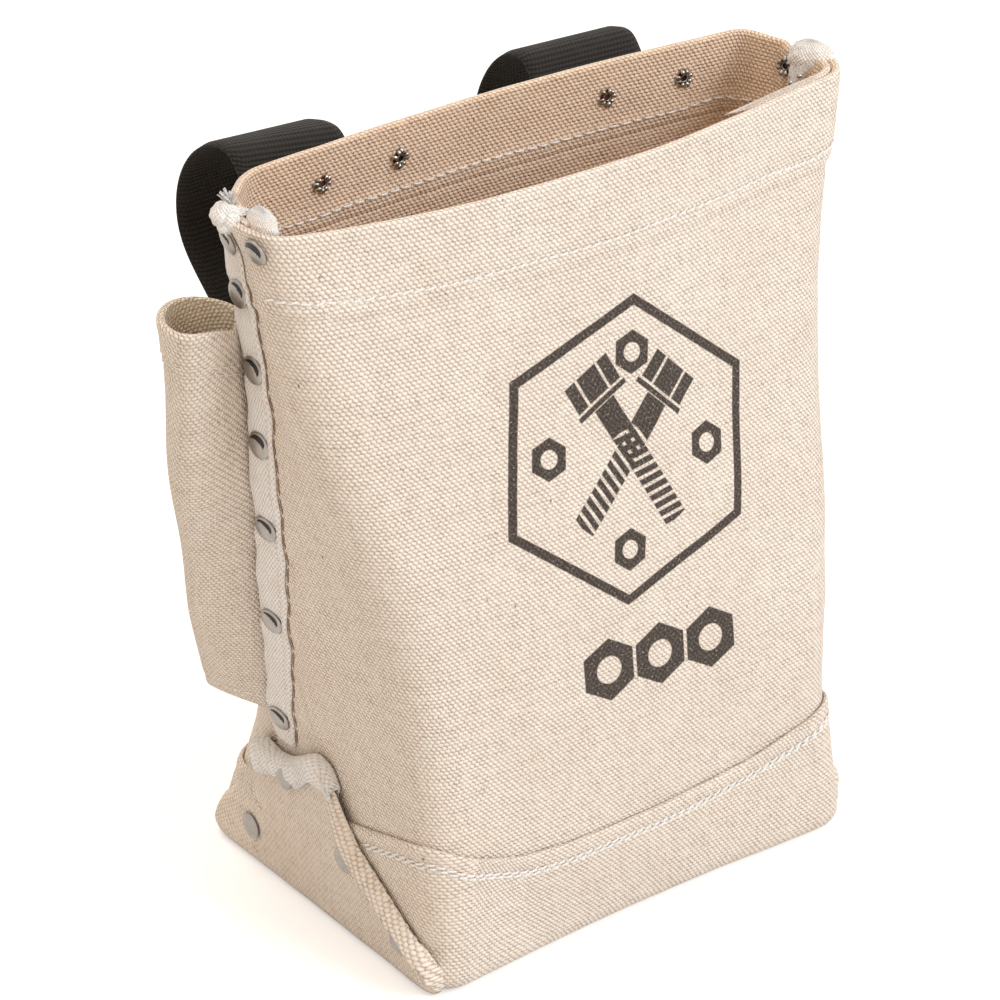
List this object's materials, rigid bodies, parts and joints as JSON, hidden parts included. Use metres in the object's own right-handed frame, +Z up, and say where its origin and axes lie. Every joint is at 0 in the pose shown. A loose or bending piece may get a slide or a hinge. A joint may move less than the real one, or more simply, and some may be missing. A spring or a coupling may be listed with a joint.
{
  "type": "electrician tool pouch",
  "caption": "Boxed canvas tool bag with a riveted, taped seam down each side, a canvas boot, bound corner ears, a pin sleeve and webbing belt loops.",
  "frame": {"origin": "middle of the bottom, on the surface that the bag stands on", "axes": "+X to the right along the front, +Y from the front panel to the back panel, +Z up through the mouth"},
  "size_m": [0.2412, 0.1517, 0.2551],
  "materials": {
    "duck_canvas": "matte, coarse plain weave",
    "white_tape": "matte cotton tape",
    "webbing": "ribbed, slightly glossy",
    "rivet_steel": "nickel-plated, satin"
  },
  "bodies": {
    "root": {"front_panel": "duck_canvas", "back_panel": "duck_canvas", "inner_bottom": "duck_canvas", "bottom_boot": "duck_canvas", "left_ear": "duck_canvas", "right_ear": "duck_canvas", "left_ear_binding": "white_tape", "right_ear_binding": "white_tape", "left_seam_tape": "white_tape", "right_seam_tape": "white_tape", "bull_pin_sleeve": "duck_canvas", "left_belt_loop": "webbing", "right_belt_loop": "webbing", "left_seam_rivets": "rivet_steel", "right_seam_rivets": "rivet_steel", "left_ear_rivets": "rivet_steel", "right_ear_rivets": "rivet_steel", "left_loop_upper_rivets": "rivet_steel", "left_loop_lower_rivets": "rivet_steel", "right_loop_upper_rivets": "rivet_steel", "right_loop_lower_rivets": "rivet_steel"}
  },
  "joints": []
}
